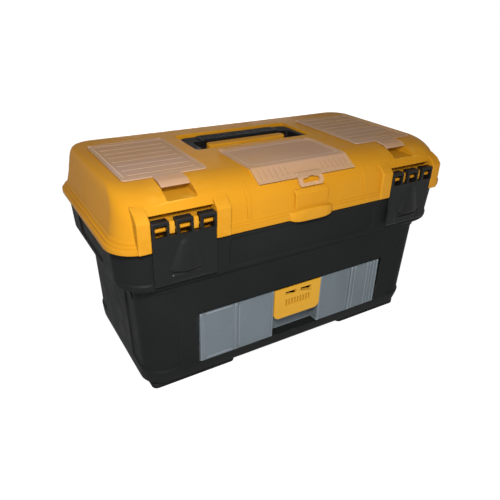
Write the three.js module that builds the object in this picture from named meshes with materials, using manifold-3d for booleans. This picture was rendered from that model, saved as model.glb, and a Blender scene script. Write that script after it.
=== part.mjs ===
// Portable toolbox with a lift-out tray, a front parts drawer and three lidded bins in its lid.
// Millimetres, +X to the right, +Y to the back, +Z up. The origin is the middle of the base.
import * as THREE from 'three';
import { mergeVertices } from 'three/addons/utils/BufferGeometryUtils.js';
import Module from 'manifold-3d';

const wasm = await Module();
wasm.setup();

// ---------------------------------------------------------------- driving dimensions

const LENGTH = 530;
const DEPTH = 281; // latch thumb bulge to hinge knuckle
const HEIGHT = 290;
const WALL = 3;
const GAP = 0.5; // between pieces that rest against each other

const RIM_Z = 223; // where lid and body meet
const LID_TOP_Z = HEIGHT - 2.5;
const FLANGE_Y = 132; // the lid's rim, front and back

// ---------------------------------------------------------------- layout shared by several pieces

const DRAWER = { halfX: 158, y: [-115, 85], z: [31, 111], wall: 2.4, pullHalfX: 41, pocketBackY: -100 };
const LATCH = { x: [140, 220], frontY: -134, plate: 3, topZ: 258.5, bottomZ: 178 };
const LATCH_BAR = { y: -126, z: 247, radius: 3 };
const LATCH_KNUCKLES = [[0, 21], [29.5, 50.5], [59, 80]]; // from the latch's low x side
const CHEEKS = [[120.5, 139.5], [220.5, 238]];
const HINGE = { y: DEPTH / 2 - 5, z: RIM_Z, radius: 5, pinRadius: 2.5, spans: [[-190, -120], [120, 190]] };
const SIDE_BIN = { x: [122, 227], y: [-68, 78], floorZ: 250 };
const CENTRE_BIN = { x: [-74, 74], y: [-92, -17], floorZ: 250 };
const HANDLE_WELL = { x: [-97, 97], y: [8, 88], floorZ: 262 };
const HANDLE = { pivotY: 16, pivotZ: 279, halfX: 95.5, armWidth: 11, gripY: [52, 80], thickness: 12 };
const TRAY = { halfX: 227, halfY: 107, z: [150, 210], wall: 2.5, rowY: 30, gripTopZ: 224 };
const COVER_BARREL = { radius: 2.2, behind: 4 }; // hinge barrel behind the bin's back edge
const TAB_HALF_X = 19;

// ---------------------------------------------------------------- solids from three.js geometry

function solid(geometry) {
  geometry.deleteAttribute('normal');
  geometry.deleteAttribute('uv');
  const merged = mergeVertices(geometry, 1e-4);
  return new wasm.Manifold(new wasm.Mesh({
    numProp: 3,
    vertProperties: new Float32Array(merged.attributes.position.array),
    triVerts: new Uint32Array(merged.index.array),
  }));
}

function box([x0, x1], [y0, y1], [z0, z1]) {
  const geometry = new THREE.BoxGeometry(x1 - x0, y1 - y0, z1 - z0);
  geometry.translate((x0 + x1) / 2, (y0 + y1) / 2, (z0 + z1) / 2);
  return solid(geometry);
}

// A round rod along X, centred on y, z.
function rodX([x0, x1], y, z, radius, sides = 14) {
  const geometry = new THREE.CylinderGeometry(radius, radius, x1 - x0, sides);
  geometry.rotateZ(Math.PI / 2);
  geometry.translate((x0 + x1) / 2, y, z);
  return solid(geometry);
}

// A side profile of [y, z] points, carried along X.
function profileX([x0, x1], points) {
  const shape = new THREE.Shape(points.map(([y, z]) => new THREE.Vector2(y, z)));
  const geometry = new THREE.ExtrudeGeometry(shape, { depth: x1 - x0, bevelEnabled: false });
  geometry.applyMatrix4(new THREE.Matrix4().set(0, 0, 1, x0, 1, 0, 0, 0, 0, 1, 0, 0, 0, 0, 0, 1));
  return solid(geometry);
}

// A front outline of [x, z] points, carried along Y.
function profileY([y0, y1], points) {
  const shape = new THREE.Shape(points.map(([x, z]) => new THREE.Vector2(x, z)));
  const geometry = new THREE.ExtrudeGeometry(shape, { depth: y1 - y0, bevelEnabled: false });
  geometry.applyMatrix4(new THREE.Matrix4().set(1, 0, 0, 0, 0, 0, -1, y1, 0, 1, 0, 0, 0, 0, 0, 1));
  return solid(geometry);
}

// A rounded rectangle in plan, carried up along Z.
function roundedBox([x0, x1], [y0, y1], [z0, z1], radius, curveSegments = 4) {
  const shape = new THREE.Shape();
  shape.absarc(x1 - radius, y0 + radius, radius, -Math.PI / 2, 0, false);
  shape.absarc(x1 - radius, y1 - radius, radius, 0, Math.PI / 2, false);
  shape.absarc(x0 + radius, y1 - radius, radius, Math.PI / 2, Math.PI, false);
  shape.absarc(x0 + radius, y0 + radius, radius, Math.PI, 1.5 * Math.PI, false);
  const geometry = new THREE.ExtrudeGeometry(shape, { depth: z1 - z0, bevelEnabled: false, curveSegments });
  geometry.translate(0, 0, z0);
  return solid(geometry);
}

function levelRing({ z, halfX, front, back, radius }, arcSteps) {
  const corners = [
    [halfX - radius, front + radius],
    [halfX - radius, back - radius],
    [radius - halfX, back - radius],
    [radius - halfX, front + radius],
  ];
  return corners.flatMap(([cx, cy], quarter) =>
    Array.from({ length: arcSteps + 1 }, (_, step) => {
      const angle = (quarter - 1 + step / arcSteps) * (Math.PI / 2);
      return [cx + radius * Math.cos(angle), cy + radius * Math.sin(angle), z];
    }));
}

// Rounded rectangles stacked in height and joined by straight walls.
// Each level is { z, halfX, front, back, radius }.
function stackedShell(levels, arcSteps = 5) {
  const rings = levels.map((level) => levelRing(level, arcSteps));
  const count = rings[0].length;
  const index = [];
  for (let level = 0; level < rings.length - 1; level++) {
    for (let i = 0; i < count; i++) {
      const a = level * count + i;
      const b = level * count + ((i + 1) % count);
      index.push(a, b, b + count, a, b + count, a + count);
    }
  }
  const top = (rings.length - 1) * count;
  for (let i = 1; i < count - 1; i++) {
    index.push(0, i + 1, i);
    index.push(top, top + i, top + i + 1);
  }
  const geometry = new THREE.BufferGeometry();
  geometry.setAttribute('position', new THREE.Float32BufferAttribute(rings.flat(2), 3));
  geometry.setIndex(index);
  return solid(geometry);
}

function inset(level, amount, z = level.z) {
  return {
    z,
    halfX: level.halfX - amount,
    front: level.front + amount,
    back: level.back - amount,
    radius: Math.max(level.radius - amount, 2),
  };
}

function union(solids) {
  return solids.reduce((sum, part) => sum.add(part));
}

function cut(base, solids) {
  return solids.reduce((rest, part) => rest.subtract(part), base);
}

function grow([low, high], amount) {
  return [low - amount, high + amount];
}

function mirrorSpan([x0, x1]) {
  return [-x1, -x0];
}

// The same span on the left and on the right.
function bothSides(span) {
  return [mirrorSpan(span), span];
}

// ---------------------------------------------------------------- lid hinge

// Each hinge has a body knuckle in its middle and a lid knuckle on each side of it.
function hingeThirds([x0, x1]) {
  const third = (x1 - x0) / 3;
  return {
    middle: grow([x0 + third, x1 - third], -0.4),
    outer: [[x0, x0 + third], [x1 - third, x1]],
  };
}

const BODY_KNUCKLES = HINGE.spans.map((span) => hingeThirds(span).middle);
const LID_KNUCKLES = HINGE.spans.flatMap((span) => hingeThirds(span).outer);

function knuckle(span, rootY, [z0, z1]) {
  return rodX(span, HINGE.y, HINGE.z, HINGE.radius, 16).add(box(span, [rootY, HINGE.y], [z0, z1]));
}

function knuckleClearance(span) {
  return rodX(grow(span, 0.4), HINGE.y, HINGE.z, HINGE.radius + 0.5, 16);
}

function pinHoles() {
  return HINGE.spans.map((span) => rodX(grow(span, 1), HINGE.y, HINGE.z, HINGE.pinRadius + 0.3, 12));
}

function hingePin(span) {
  const shaft = rodX(grow(span, 1), HINGE.y, HINGE.z, HINGE.pinRadius, 12);
  const head = rodX([span[0] - 3.2, span[0] - 0.5], HINGE.y, HINGE.z, HINGE.pinRadius + 0.8, 12);
  return shaft.add(head);
}

// ---------------------------------------------------------------- body

const FLOOR_Z = 7;
const SHOULDER_Z = 163;

const BODY_LEVELS = [
  { z: FLOOR_Z, halfX: 231, front: -108, back: 113, radius: 30 },
  { z: 30, halfX: 233, front: -115, back: 117, radius: 32 },
  { z: SHOULDER_Z, halfX: 237, front: -119, back: 122, radius: 34 },
  { z: 171, halfX: 255, front: -126, back: 128, radius: 38 },
  { z: RIM_Z - GAP, halfX: 258, front: -128, back: 130, radius: 38 },
];

function bodyCavity() {
  const [base, low, shoulder, band, rim] = BODY_LEVELS;
  return stackedShell([
    inset(base, WALL, FLOOR_Z + WALL),
    inset(low, WALL),
    inset(shoulder, WALL, SHOULDER_Z + 1),
    inset(band, WALL, band.z + 3),
    inset(rim, WALL, RIM_Z + 1),
  ]);
}

// A tongue inside the rim keeps the closed lid in line.
function rimTongue() {
  const rim = BODY_LEVELS.at(-1);
  const ring = (amount, z0, z1) => stackedShell([inset(rim, amount, z0), inset(rim, amount, z1)]);
  const tongue = ring(WALL - 0.8, RIM_Z - 8, RIM_Z + 4).subtract(ring(WALL + 1.4, RIM_Z - 9, RIM_Z + 5));
  const latchGaps = bothSides(LATCH.x).map((span) => box(grow(span, 5), [-140, -100], [RIM_Z - GAP, RIM_Z + 5]));
  return cut(tongue, latchGaps);
}

// The tray stands on ledges that run along the end walls.
function trayLedges() {
  const z = [TRAY.z[0] - 10, TRAY.z[0] - GAP];
  return bothSides([220, 235]).map((span) => box(span, [-85, 85], z));
}

function feet() {
  return bothSides([96, 223]).flatMap((span) => [[-104, -58], [62, 108]].map((y) =>
    roundedBox(span, y, [0, FLOOR_Z + 1], 8, 3)));
}

// The catch that each latch snaps over.
function latchCatches() {
  return bothSides([150, 210]).map((span) => profileX(span, [
    [-125, 188], [-125, 202], [-128.5, 202], [-130.5, 198], [-130.5, 193],
  ]));
}

// Shallow panels that wrap round the four lower corners.
function cornerPanels() {
  const inner = stackedShell([BODY_LEVELS[1], BODY_LEVELS[2]].map((level) => inset(level, 1.2)));
  return bothSides([188, 250]).flatMap((x) =>
    [[-150, -60], [62, 150]].map((y) => cut(box(x, y, [34, 157]), [inner])));
}

function bodyShell() {
  const { halfX, y, z } = DRAWER;
  const bay = box(grow([-halfX, halfX], 1), [-200, y[1] + 1], [z[0] - GAP, z[1] + 1]);
  const bayWalls = box(grow([-halfX, halfX], 4), [-112, y[1] + 4], [FLOOR_Z, z[1] + 4]);
  const underBay = box([-halfX, halfX], [-100, y[1]], [-5, z[0] - 4]);
  const shell = stackedShell(BODY_LEVELS).subtract(bodyCavity().subtract(bayWalls));
  const frontRecess = box([-114, 114], [-150, -126], [176, 214]);
  const carved = cut(shell, [bay, underBay, frontRecess, ...cornerPanels()]);
  const added = union([
    carved,
    rimTongue(),
    ...trayLedges(),
    ...feet(),
    ...latchCatches(),
    ...BODY_KNUCKLES.map((span) => knuckle(span, 127, [HINGE.z - HINGE.radius, HINGE.z - 1])),
  ]);
  return cut(added, [...LID_KNUCKLES.map(knuckleClearance), ...pinHoles()]);
}

// ---------------------------------------------------------------- lid

const LID_LEVELS = [
  { z: RIM_Z, halfX: LENGTH / 2, front: -FLANGE_Y, back: FLANGE_Y, radius: 38 },
  { z: 232, halfX: LENGTH / 2, front: -FLANGE_Y, back: FLANGE_Y, radius: 38 },
  { z: 237, halfX: 257, front: -128, back: 129, radius: 36 },
  { z: 256, halfX: 253, front: -126, back: 126, radius: 35 },
  { z: 267, halfX: 251, front: -122, back: 125, radius: 34 },
  { z: 276, halfX: 249, front: -114, back: 124, radius: 33 },
  { z: 283, halfX: 247, front: -101, back: 123, radius: 32 },
  { z: 286.5, halfX: 244, front: -86, back: 121, radius: 30 },
  { z: LID_TOP_Z, halfX: 240, front: -74, back: 118, radius: 28 },
];

function lidCavity() {
  const [rim, , step, ...upper] = LID_LEVELS;
  return stackedShell([
    inset(rim, WALL, RIM_Z - 1),
    inset(rim, WALL, 229),
    inset(step, WALL, 234),
    ...upper.map((level) => inset(level, WALL, level.z - WALL)),
  ]);
}

const BINS = {
  left: { ...SIDE_BIN, x: mirrorSpan(SIDE_BIN.x) },
  centre: CENTRE_BIN,
  right: SIDE_BIN,
};
const BIN_LIST = Object.values(BINS);

function binWalls({ x, y, floorZ }) {
  return box(grow(x, 2.5), grow(y, 2.5), [floorZ - 2.5, LID_TOP_Z - 1]);
}

function binHollow({ x, y, floorZ }) {
  return roundedBox(x, y, [floorZ, HEIGHT + 5], 5, 3);
}

function handleWell(extra, floorZ) {
  return box(grow(HANDLE_WELL.x, extra), grow(HANDLE_WELL.y, extra), [floorZ, LID_TOP_Z + (extra ? -1 : 5)]);
}

// The nose that the centre cover closes down onto.
function centreNose() {
  return profileX([-77, 77], [
    [-128, 240], [-60, 240], [-60, LID_TOP_Z], [-96, LID_TOP_Z], [-118, 274.5], [-124, 262],
  ]);
}

// Posts on both sides of each latch.
function cheekPost(span) {
  return profileX(span, [
    [-133.5, RIM_Z], [-112, RIM_Z], [-100, 276], [-118, 275], [-133.5, 269],
  ]);
}

// The raised panel and thumb lip in the middle of the lid's front.
function frontPanel() {
  return profileX([-26, 26], [[-131, 234], [-120, 234], [-116, 262], [-126, 262], [-131, 257]]);
}

function thumbLip() {
  return profileX([-34, 34], [
    [-137, RIM_Z - 3.5], [-130.5, RIM_Z - 3.5], [-130.5, RIM_Z], [-126, RIM_Z], [-124, 238], [-133, 236], [-137, 233],
  ]);
}

function tabSpan(bin) {
  const middle = (bin.x[0] + bin.x[1]) / 2;
  return [middle - TAB_HALF_X, middle + TAB_HALF_X];
}

// Thin ribs carry each latch bar between the latch's knuckles.
function latchBars([x0]) {
  const { y, z, radius } = LATCH_BAR;
  const ribSpans = [0, 1].map((i) => [x0 + LATCH_KNUCKLES[i][1] + GAP, x0 + LATCH_KNUCKLES[i + 1][0] - GAP]);
  const ribs = ribSpans.map((span) => profileX(span, [
    [y - 3.5, z - 6], [y + 15, z - 6], [y + 15, z + 8.5], [y - 2, z + 8.5], [y - 3.5, z + 6],
  ]));
  return [rodX([x0 - 2, x0 + 82], y, z, radius, 12), ...ribs];
}

function coverAxisY(bin) {
  return bin.y[1] + COVER_BARREL.behind;
}

function handlePegHole(side) {
  const span = [HANDLE_WELL.x[1] - 2, HANDLE_WELL.x[1] + 8];
  return rodX(side < 0 ? mirrorSpan(span) : span, HANDLE.pivotY, HANDLE.pivotZ, 3.4, 12);
}

function lidShell() {
  const bays = bothSides(LATCH.x);
  const outside = union([
    stackedShell(LID_LEVELS),
    centreNose(),
    frontPanel(),
    thumbLip(),
    ...CHEEKS.flatMap(bothSides).map(cheekPost),
  ]);
  const keptInside = [
    ...BIN_LIST.map(binWalls),
    handleWell(2.5, HANDLE_WELL.floorZ - 2.5),
    ...bays.map((span) => box(grow(span, 3.5), [-134, -109], [RIM_Z, 268.5])),
    ...[BINS.left, BINS.right].map((bin) => box(grow(tabSpan(bin), 2), [-119, -70], [270, LID_TOP_Z])),
    box([-HANDLE.halfX - 14, HANDLE.halfX + 14], [8, 24], [268, LID_TOP_Z]),
  ];
  const hollow = outside.subtract(cut(lidCavity(), keptInside));
  const carved = cut(hollow, [
    ...BIN_LIST.map(binHollow),
    handleWell(0, HANDLE_WELL.floorZ),
    ...bays.map((span) => box(grow(span, GAP), [-150, -112.5], [RIM_Z + 3, 264])),
    ...bays.map((span) => box(grow(span, GAP), [-150, -128.5], [RIM_Z - 5, RIM_Z + 4])),
    ...[BINS.left, BINS.right].map((bin) => box(tabSpan(bin), [-117, -73], [274, 300])),
  ]);
  const added = union([
    carved,
    ...bays.flatMap(latchBars),
    roundedBox([-66, 66], [30, 46], [HANDLE_WELL.floorZ - 1, LID_TOP_Z - 3], 6),
    ...LID_KNUCKLES.map((span) => knuckle(span, 129, [HINGE.z, HINGE.z + HINGE.radius])),
  ]);
  return cut(added, [
    ...BODY_KNUCKLES.map(knuckleClearance),
    ...pinHoles(),
    ...BIN_LIST.map((bin) => rodX(bin.x, coverAxisY(bin), LID_TOP_Z, COVER_BARREL.radius + 0.4, 12)),
    ...[-1, 1].map(handlePegHole),
  ]);
}

// ---------------------------------------------------------------- covers

function coverBarrel(bin) {
  const span = grow(bin.x, -0.5);
  const axisY = coverAxisY(bin);
  const web = box(grow(bin.x, -6), [bin.y[1] - 2, axisY], [LID_TOP_Z + 0.3, HEIGHT - 0.5]);
  return rodX(span, axisY, LID_TOP_Z, COVER_BARREL.radius, 12).add(web);
}

function sideCover(bin) {
  const plate = box(grow(bin.x, 2), [bin.y[0] - 4, bin.y[1] - 0.5], [LID_TOP_Z + 0.3, HEIGHT]);
  const [x0, x1] = grow(tabSpan(bin), -1);
  const tab = profileX([x0, x1], [
    [-70, HEIGHT - 2], [-88, HEIGHT - 3.5], [-97, 283.5], [-98, 285], [-89, HEIGHT - 0.8], [-70, HEIGHT],
  ]);
  return union([plate, tab, coverBarrel(bin)]);
}

function centreCover(bin) {
  const apron = profileX(grow(bin.x, 2), [
    [bin.y[1] - 0.5, LID_TOP_Z + 0.3], [bin.y[1] - 0.5, HEIGHT], [-98, HEIGHT],
    [-121.6, 275.6], [-119.6, 274.9], [-97, LID_TOP_Z + 0.3],
  ]);
  const tab = profileX([-TAB_HALF_X, TAB_HALF_X], [
    [-112, 281], [-122, 276], [-128.5, 265], [-126, 264], [-119.5, 275],
  ]);
  return union([apron, tab, coverBarrel(bin)]);
}

// A loose plate that splits a side bin into a front and a back half.
function binDivider(bin) {
  return box(grow(bin.x, -0.6), [-1, 1], [bin.floorZ + 0.3, LID_TOP_Z - 1.5]);
}

// ---------------------------------------------------------------- handle

function carryHandle() {
  const { pivotY, pivotZ, halfX, armWidth, gripY, thickness } = HANDLE;
  const z = [pivotZ - thickness / 2, pivotZ + thickness / 2];
  const outline = roundedBox([-halfX, halfX], [pivotY, gripY[1]], z, 10);
  const inside = box([armWidth - halfX, halfX - armWidth], [pivotY - 1, gripY[0]], grow(z, 1));
  const arms = bothSides([halfX - armWidth, halfX]).map((span) => rodX(span, pivotY, pivotZ, thickness / 2, 16));
  const pegs = rodX([-halfX - 7, halfX + 7], pivotY, pivotZ, 3, 12)
    .subtract(box([armWidth - halfX, halfX - armWidth], [0, 40], grow(z, 1)));
  return union([outline.subtract(inside), ...arms, pegs]);
}

// ---------------------------------------------------------------- latches

function latch([x0, x1]) {
  const { frontY, plate, topZ, bottomZ } = LATCH;
  const backY = frontY + plate;
  const { y, z, radius } = LATCH_BAR;
  const panel = box([x0, x1], [frontY, backY], [bottomZ, 240]);
  const knuckles = LATCH_KNUCKLES.map(([from, to]) => {
    const span = [x0 + from, x0 + to];
    const block = box(span, [frontY, y + 4], [239, topZ]);
    const window = box(grow(span, -3.5), [frontY - 1, y + 5], [242, 254.5]);
    return block.subtract(window);
  });
  const middle = (x0 + x1) / 2;
  const thumb = profileY([-DEPTH / 2, backY], [
    [middle - 23, 186], [middle + 23, 186], [middle + 24, 198], [middle + 19, 218],
    [middle + 6, 236], [middle - 6, 236], [middle - 19, 218], [middle - 24, 198],
  ]).subtract(profileX([x0, x1], [[-160, 180], [-DEPTH / 2, 180], [-DEPTH / 2, 196], [frontY, 237], [-160, 237]]));
  return union([panel, ...knuckles, thumb]).subtract(rodX([x0 - 1, x1 + 1], y, z, radius + 0.3, 12));
}

// ---------------------------------------------------------------- drawer

function partsDrawer() {
  const { halfX, y, z, wall, pullHalfX, pocketBackY } = DRAWER;
  const outside = box([-halfX, halfX], y, z);
  const hollow = box(grow([-halfX, halfX], -wall), grow(y, -wall), [z[0] + wall, z[1] + 5]);
  const pocketWalls = box(grow([-pullHalfX, pullHalfX], wall), [y[0], pocketBackY + wall], [z[0], z[0] + 38]);
  const pocket = box([-pullHalfX, pullHalfX], [y[0] - 5, pocketBackY], [z[0] - 5, z[0] + 38 - wall]);
  const frontBehindPull = box(grow([-pullHalfX, pullHalfX], wall), [y[0], y[0] + 5.2], [z[0] + 32, z[1]]);
  const pullSeat = box([-pullHalfX, pullHalfX], [y[0] - 5, y[0] + 2.8], [z[0] - 5, z[1] + 5]);
  return union([outside.subtract(hollow.subtract(pocketWalls)), frontBehindPull])
    .subtract(pocket)
    .subtract(pullSeat);
}

function drawerPull() {
  const { y, z, pullHalfX } = DRAWER;
  return box(grow([-pullHalfX, pullHalfX], -GAP), [y[0] - 2.5, y[0] + 2.5], [z[0] + 29, z[1] - 1]);
}

function drawerDivider(x) {
  const { y, z, wall } = DRAWER;
  return box([x - 1, x + 1], grow(y, -wall - 0.4), [z[0] + wall + 0.4, z[1] - 4]);
}

// ---------------------------------------------------------------- tray

function liftOutTray() {
  const { halfX, halfY, z, wall } = TRAY;
  const [endX, endY] = [halfX - wall, halfY - wall];
  const insideZ = [z[0] + wall, z[1] + 5];
  const outside = roundedBox([-halfX, halfX], [-halfY, halfY], z, 24);
  const inside = roundedBox([-endX, endX], [-endY, endY], insideZ, 24 - wall);
  const compartments = union([
    roundedBox([-endX, endX], [-endY, -TRAY.rowY], insideZ, 8, 3),
    ...bothSides([1.5, endX]).map((x) => roundedBox(x, [TRAY.rowY, endY], insideZ, 8, 3)),
    ...bothSides([70, endX]).map((x) => roundedBox(x, grow([-TRAY.rowY, TRAY.rowY], -3), insideZ, 8, 3)),
  ]).intersect(inside);
  const fingerSpaces = [[-27, -9], [9, 27]].map((y) => box([-62, 62], y, insideZ));
  const gripWindow = box([-55, 55], [-40, 40], [z[1] - 6, z[1] + 4]);
  const grip = box([-66, 66], [-7, 7], [z[1] - 2, TRAY.gripTopZ]).subtract(gripWindow);
  return cut(outside, [compartments, ...fingerSpaces, gripWindow]).add(grip);
}

function trayDivider(x) {
  const { halfY, z, wall } = TRAY;
  return box([x - 1, x + 1], [wall + 0.5 - halfY, -TRAY.rowY - 0.5], [z[0] + wall + 0.5, z[1] - 6]);
}

// ---------------------------------------------------------------- assembly

const YELLOW = { color: 0xe59a1c, roughness: 0.45, metalness: 0 };
const BLACK = { color: 0x232324, roughness: 0.55, metalness: 0 };
const GREY = { color: 0x4a4c50, roughness: 0.55, metalness: 0 };
const CLEAR = { color: 0xaeb6bb, roughness: 0.25, metalness: 0 };
const STEEL = { color: 0xb0b2b5, roughness: 0.35, metalness: 1 };

function toGeometry(manifold) {
  const { vertProperties, triVerts } = manifold.getMesh();
  const geometry = new THREE.BufferGeometry();
  geometry.setAttribute('position', new THREE.BufferAttribute(vertProperties, 3));
  geometry.setIndex(new THREE.BufferAttribute(triVerts, 1));
  geometry.computeVertexNormals();
  return geometry;
}

const toolbox = new THREE.Group();

function addPiece(name, manifold, finish) {
  const mesh = new THREE.Mesh(toGeometry(manifold), new THREE.MeshStandardMaterial(finish));
  mesh.name = name;
  toolbox.add(mesh);
}

addPiece('body_shell', bodyShell(), BLACK);
addPiece('lid_shell', lidShell(), YELLOW);
addPiece('carry_handle', carryHandle(), BLACK);
addPiece('cover_centre', centreCover(BINS.centre), CLEAR);
addPiece('parts_drawer', partsDrawer(), CLEAR);
addPiece('drawer_pull', drawerPull(), YELLOW);
addPiece('lift_out_tray', liftOutTray(), GREY);
['left', 'right'].forEach((side, i) => {
  const sign = i === 0 ? -1 : 1;
  addPiece(`lid_hinge_pin_${side}`, hingePin(HINGE.spans[i]), STEEL);
  addPiece(`latch_${side}`, latch(bothSides(LATCH.x)[i]), BLACK);
  addPiece(`cover_${side}`, sideCover(BINS[side]), CLEAR);
  addPiece(`bin_divider_${side}`, binDivider(BINS[side]), CLEAR);
  addPiece(`drawer_divider_${side}`, drawerDivider(sign * 101), CLEAR);
  addPiece(`tray_divider_${side}`, trayDivider(sign * 77), GREY);
});

export default toolbox;
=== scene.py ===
import math

import bmesh
import bpy
from mathutils import Matrix, Vector


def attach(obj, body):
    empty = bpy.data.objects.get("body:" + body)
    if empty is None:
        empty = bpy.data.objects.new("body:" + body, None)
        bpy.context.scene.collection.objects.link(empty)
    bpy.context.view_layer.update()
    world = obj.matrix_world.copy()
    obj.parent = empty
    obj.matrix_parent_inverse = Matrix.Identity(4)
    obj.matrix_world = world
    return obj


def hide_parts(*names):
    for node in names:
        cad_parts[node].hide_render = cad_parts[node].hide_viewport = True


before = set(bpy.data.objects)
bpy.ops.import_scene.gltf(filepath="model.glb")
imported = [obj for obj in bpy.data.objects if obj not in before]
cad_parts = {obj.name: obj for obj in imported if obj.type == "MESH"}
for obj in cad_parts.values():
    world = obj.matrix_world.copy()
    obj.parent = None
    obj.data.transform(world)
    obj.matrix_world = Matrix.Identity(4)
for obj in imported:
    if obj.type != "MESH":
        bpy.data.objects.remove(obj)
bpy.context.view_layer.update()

# Shapes are written in millimetres and scaled once, when a mesh is made.
MM = 0.001

# ------------------------------------------------------------------ sizes shared with the CAD part

RIM_Z = 223
LID_TOP_Z = 287.5
TOP_Z = 290
WALL = 3
DRAWER_X, DRAWER_Y, DRAWER_Z = 158, (-115, 85), (31, 111)
PULL_X = 41
POCKET_BACK_Y = -100
LATCH_MIDDLE_X = 180
LATCH_HALF_X = 40
LATCH_FRONT_Y = -134
LATCH_BAR_Y, LATCH_BAR_Z = -126, 247
LATCH_PLATE_Z = (178, 240.5)
LATCH_KNUCKLES = ((-40, -19), (-10.5, 10.5), (19, 40))
HINGE_Y, HINGE_Z = 135.5, 223
HINGE_SPANS = ((-190, -120), (120, 190))
SIDE_BIN_X, SIDE_BIN_Y = (122, 227), (-68, 78)
CENTRE_BIN_X, CENTRE_BIN_Y = (-74, 74), (-92, -17)
BIN_FLOOR_Z = 250
WELL_X, WELL_Y, WELL_FLOOR_Z = (-97, 97), (8, 88), 262
PIVOT_Y, PIVOT_Z = 16, 279
HANDLE_X = 95.5
TRAY_X, TRAY_Y, TRAY_Z = 227, 107, (150, 210)
TRAY_ROW_Y = 30
TAB_X = 19
LATCH_BAY_X = (140, 220)
FRONT_RIB_X = 93
THUMB_LIP_X = 35

# ------------------------------------------------------------------ mesh helpers


def make(name, points, faces):
    mesh = bpy.data.meshes.new(name)
    mesh.from_pydata([(x * MM, y * MM, z * MM) for x, y, z in points], [], faces)
    mesh.update()
    obj = bpy.data.objects.new(name, mesh)
    bpy.context.scene.collection.objects.link(obj)
    return obj


def bake(obj):
    """Turns the object's modifiers into plain mesh."""
    graph = bpy.context.evaluated_depsgraph_get()
    mesh = bpy.data.meshes.new_from_object(obj.evaluated_get(graph))
    obj.modifiers.clear()
    old = obj.data
    obj.data = mesh
    bpy.data.meshes.remove(old)
    return obj


def combine(base, operation, tools):
    for tool in tools:
        step = base.modifiers.new("combine", "BOOLEAN")
        step.operation = operation
        step.solver = "MANIFOLD"
        step.object = tool
    bake(base)
    for tool in tools:
        mesh = tool.data
        bpy.data.objects.remove(tool)
        bpy.data.meshes.remove(mesh)
    return base


def union(base, tools):
    return combine(base, "UNION", tools)


def cut(base, tools):
    return combine(base, "DIFFERENCE", tools)


def keep_inside(base, tools):
    return combine(base, "INTERSECT", tools)


def soften(obj, width, segments=2, angle=40):
    """Rounds every edge sharper than angle."""
    step = obj.modifiers.new("soften", "BEVEL")
    step.width = width * MM
    step.segments = segments
    step.limit_method = "ANGLE"
    step.angle_limit = math.radians(angle)
    return bake(obj)


def flatten(obj):
    """Joins the flat triangles that cuts leave behind, so that large faces shade evenly."""
    step = obj.modifiers.new("flatten", "DECIMATE")
    step.decimate_type = "DISSOLVE"
    step.angle_limit = math.radians(0.4)
    return bake(obj)


def split_on_grid(obj, step):
    """Splits flat faces on a grid, so that the pointiness mask behind the painted edge highlight stays
    close to the edges.
    """
    mesh = bmesh.new()
    mesh.from_mesh(obj.data)
    for axis in range(3):
        places = [corner[axis] for corner in obj.bound_box]
        normal = [1.0 if i == axis else 0.0 for i in range(3)]
        start, pitch = min(places), step * MM
        count = int((max(places) - start) / pitch)
        for i in range(1, count + 1):
            # Off the whole steps, so that no cut runs along a face of the piece.
            point = [(start + (i - 0.4) * pitch) * value for value in normal]
            geometry = mesh.verts[:] + mesh.edges[:] + mesh.faces[:]
            bmesh.ops.bisect_plane(mesh, geom=geometry, dist=1e-7, plane_co=point, plane_no=normal)
    mesh.to_mesh(obj.data)
    mesh.free()
    return obj


def shade(obj, angle=32):
    """Smooth shading that stays crisp at sharp edges and flat on large faces."""
    for polygon in obj.data.polygons:
        polygon.use_smooth = True
    obj.data.set_sharp_from_angle(angle=math.radians(angle))
    step = obj.modifiers.new("normals", "WEIGHTED_NORMAL")
    step.keep_sharp = True
    step.weight = 60
    return obj


def prism(name, points, count):
    """A closed prism from two matching outlines, one after the other in points."""
    faces = [tuple(reversed(range(count))), tuple(range(count, 2 * count))]
    for i in range(count):
        j = (i + 1) % count
        faces.append((i, j, j + count, i + count))
    return make(name, points, faces)


def box(x, y, z):
    outline = ((x[0], y[0]), (x[1], y[0]), (x[1], y[1]), (x[0], y[1]))
    return prism("box", [(px, py, pz) for pz in z for px, py in outline], 4)


def soft_box(x, y, z, width, segments=2):
    return soften(box(x, y, z), width, segments)


def profile_x(x, outline):
    """An outline of (y, z), counter-clockwise seen from +X, carried along X."""
    return prism("profile", [(px, py, pz) for px in x for py, pz in outline], len(outline))


def profile_y(y, outline):
    """An outline of (x, z), clockwise seen from the front, carried along Y."""
    return prism("profile", [(px, py, pz) for py in y for px, pz in outline], len(outline))


def rod_x(x, y, z, radius, sides=32):
    turns = [2 * math.pi * i / sides for i in range(sides)]
    return profile_x(x, [(y + radius * math.cos(t), z + radius * math.sin(t)) for t in turns])


def loft(name, rings):
    """Closed rings of points joined in order, with the first and last ring capped."""
    count = len(rings[0])
    faces = [tuple(reversed(range(count)))]
    for level in range(len(rings) - 1):
        start = level * count
        for i in range(count):
            j = (i + 1) % count
            faces.append((start + i, start + j, start + j + count, start + i + count))
    faces.append(tuple(range((len(rings) - 1) * count, len(rings) * count)))
    return make(name, [point for ring in rings for point in ring], faces)


def rounded_outline(x, y, radius, steps=6):
    corners = (
        (x[1] - radius, y[0] + radius),
        (x[1] - radius, y[1] - radius),
        (x[0] + radius, y[1] - radius),
        (x[0] + radius, y[0] + radius),
    )
    outline = []
    for quarter, (cx, cy) in enumerate(corners):
        for step in range(steps + 1):
            turn = (quarter - 1 + step / steps) * math.pi / 2
            outline.append((cx + radius * math.cos(turn), cy + radius * math.sin(turn)))
    return outline


def grow(span, amount):
    return (span[0] - amount, span[1] + amount)


def mirror(span):
    return (-span[1], -span[0])


def both_sides(span):
    return (mirror(span), span)


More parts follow.
